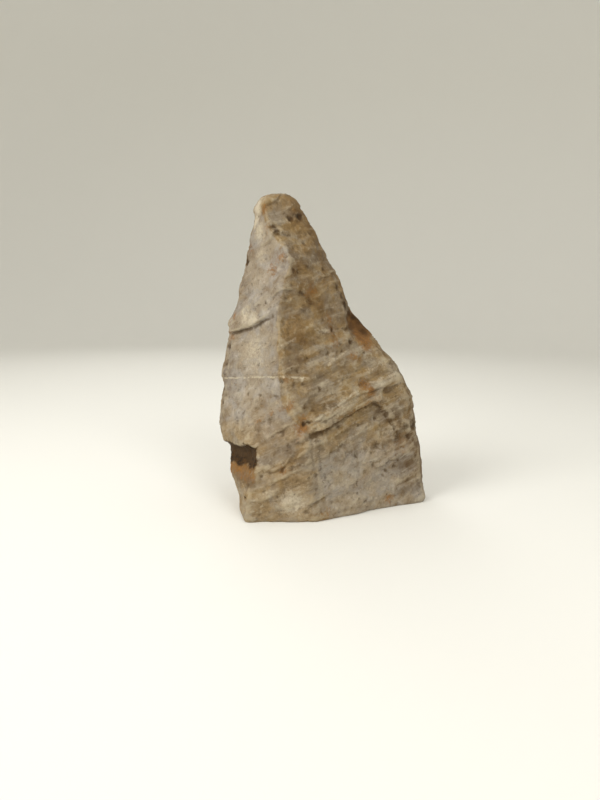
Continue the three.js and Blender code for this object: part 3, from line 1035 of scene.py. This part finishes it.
# Pale talc spots, and painted highlights on lips and edges.
colour = soapstone.mix(frayed_mask("light", 3, 0.25, 0.95) * 0.7, colour, BARE_TALC_AND_HIGHLIGHT)
patchy = blotch * 0.5 + grain * 0.5
rust_colour = soapstone.mix(soapstone.step(patchy, 0.36, 0.64), RUST_DEEP, RUST_BRIGHT)
colour = soapstone.mix(frayed_mask("rust", 3.5, 0.2, 1) * 0.85, colour, rust_colour)
# Dirt, darker holes, and painted shade and shadows all take this dark colour.
dirt_and_shade_colour = soapstone.mix(soapstone.step(patchy, 0.38, 0.62), DIRT_AND_SHADE_DEEP, DIRT_AND_SHADE_THIN)
colour = soapstone.mix(frayed_mask("dark", 2.4, 0.15, 1.1) * 0.97, colour, dirt_and_shade_colour)
print("stains:", len(soapstone.tree.nodes), "nodes so far")

# %% Painted shade in hollows, painted highlight on edges, and pepper
hollows = soapstone.attribute("hollow") + (blotch - 0.5) * 0.5
# Painted shade: the hollows are darkened brown.
colour = soapstone.mix(soapstone.step(hollows, 0.56, 1) * 0.7, colour, HOLLOW_SHADE_BROWN)
# Painted highlight: edges that stand out are lightened.
colour = soapstone.mix(soapstone.step(hollows, 0.4, 0.05) * 0.3, colour, EDGE_HIGHLIGHT)
pepper_noise = soapstone.noise(streaked(2.6, 1.8), 1, 2, 0.5)
pepper = soapstone.step(pepper_noise, 0.62, 0.76) * soapstone.step(mottle, 0.44, 0.56)
colour = soapstone.mix(pepper * 0.5, colour, PEPPER)
print("hollows and pepper:", len(soapstone.tree.nodes), "nodes so far")

# %% [markdown]
# ## A pale vein
#
# One thin sheet of talc cuts the block, level from left to right and lower towards the back:
# height = 68.2 - 0.018 x - 0.209 y. It shows round the left side and fades out past the brow.

# %% Vein
VEIN_NORMAL = (0.018, 0.209, 1)
VEIN_LEVEL = 68.2
VEIN_END = (-8, -13)  # x where it has gone, and x where it is whole

through_vein = soapstone.node(
    "ShaderNodeVectorMath", {"operation": "DOT_PRODUCT"}, {0: place, 1: VEIN_NORMAL}, output="Value"
)
off_vein = through_vein - VEIN_LEVEL + (blotch - 0.5) * 3
vein_x = soapstone.node("ShaderNodeSeparateXYZ", None, {0: place}) + (mottle - 0.5) * 12
vein = soapstone.step(off_vein * off_vein, 0.4, 0) * soapstone.step(blotch, 0.4, 0.56)
vein = vein * soapstone.step(vein_x, *VEIN_END)
colour = soapstone.mix(vein * 0.55, colour, VEIN)
print("vein:", len(soapstone.tree.nodes), "nodes so far")

# %% Surface of the stone
height = grain * 0.5 + fine_streaks * streaky * 0.7 + blotch * 0.9 - pepper * 0.4
BUMP_DEPTH = 0.9  # millimetres
bump = soapstone.node(
    "ShaderNodeBump", None, {"Strength": 0.9, "Distance": BUMP_DEPTH * MM, "Height": height}
)
roughness = 0.62 + grain * 0.3
shader = soapstone.node(
    "ShaderNodeBsdfPrincipled", None,
    {"Base Color": colour, "Roughness": roughness, "Normal": bump, "Specular IOR Level": 0.2},
)
soapstone.node("ShaderNodeOutputMaterial", None, {"Surface": shader})
stone.data.materials.append(soapstone.material)
print("soapstone:", len(soapstone.tree.nodes), "nodes")

# %% [markdown]
# ## The piece and its place
#
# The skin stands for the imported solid, which stays hidden under it for collision. It rides on the
# root body, because nothing of a stone moves.

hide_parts("stone")
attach(stone, "root")
print("piece:", stone.name)

# %% [markdown]
# ## Floor and light
#
# A plain pale floor that curves up into a wall, a cream sky and three soft lamps: the strongest
# high at the left, which picks out the pale face, a weaker one at the front right, and the weakest
# behind.

# %% Floor
FLOOR = 900  # radius of the flat part, in millimetres
SWEEP = 700  # radius of the curve up to the wall
WALL = 700
SWEEP_RINGS = 24
FLOOR_COLUMNS = 96


def dish():
    """A flat round floor whose rim curves up, a quarter turn, into a low wall."""
    angle = np.linspace(0, math.pi / 2, SWEEP_RINGS)
    radius = np.concatenate([[1, FLOOR / 2], FLOOR + SWEEP * np.sin(angle), [FLOOR + SWEEP]])
    level = np.concatenate([[0, 0], SWEEP * (1 - np.cos(angle)), [SWEEP + WALL]])
    turn = np.linspace(0, 2 * math.pi, FLOOR_COLUMNS, endpoint=False)
    flat = radius[:, None, None] * np.stack([np.cos(turn), np.sin(turn)], axis=-1)
    return np.concatenate([flat, np.broadcast_to(level[:, None, None], flat.shape[:2] + (1,))], -1)


bowl = dish()
middle_face = [list(range(FLOOR_COLUMNS))]
floor = make_object("floor", bowl, middle_face + ring_quads(*bowl.shape[:2])[:, ::-1].tolist())
floor.data.shade_smooth()
floor_finish = Finish("floor")
floor_shader = floor_finish.node(
    "ShaderNodeBsdfPrincipled", None, {"Base Color": paint("e9e7df"), "Roughness": 0.8}
)
floor_finish.node("ShaderNodeOutputMaterial", None, {"Surface": floor_shader})
floor.data.materials.append(floor_finish.material)
print("floor:", len(floor.data.polygons), "faces")

# %% Lamps
LAMP_SPREAD = 120  # degrees; a lamp's light fades out towards the sides
SKY_STRENGTH = 0.72


def lamp(name, place, size, power):
    """A square soft lamp at a place in millimetres, turned to the middle of the block."""
    light = bpy.data.lights.new(name, "AREA")
    light.size = size * MM
    light.energy = power
    light.spread = math.radians(LAMP_SPREAD)
    made = bpy.data.objects.new(name, light)
    bpy.context.scene.collection.objects.link(made)
    made.visible_camera = False
    made.location = Vector(place) * MM
    aim = Vector((0, 0, HEIGHT / 2)) * MM - made.location
    made.rotation_euler = aim.to_track_quat("-Z", "Y").to_euler()


lamp("key", (-620, -420, 620), 420, 2.35)
lamp("fill", (330, -640, 620), 420, 1.2)
lamp("back", (-250, 760, 600), 500, 0.7)

sky = bpy.data.worlds.new("sky")
bpy.context.scene.world = sky
sky.use_nodes = True
background = sky.node_tree.nodes["Background"]
background.inputs["Color"].default_value = (1, 0.99, 0.96, 1)
background.inputs["Strength"].default_value = SKY_STRENGTH
bpy.context.scene.view_settings.view_transform = "Standard"
print("lamps:", bpy.data.lights.keys())
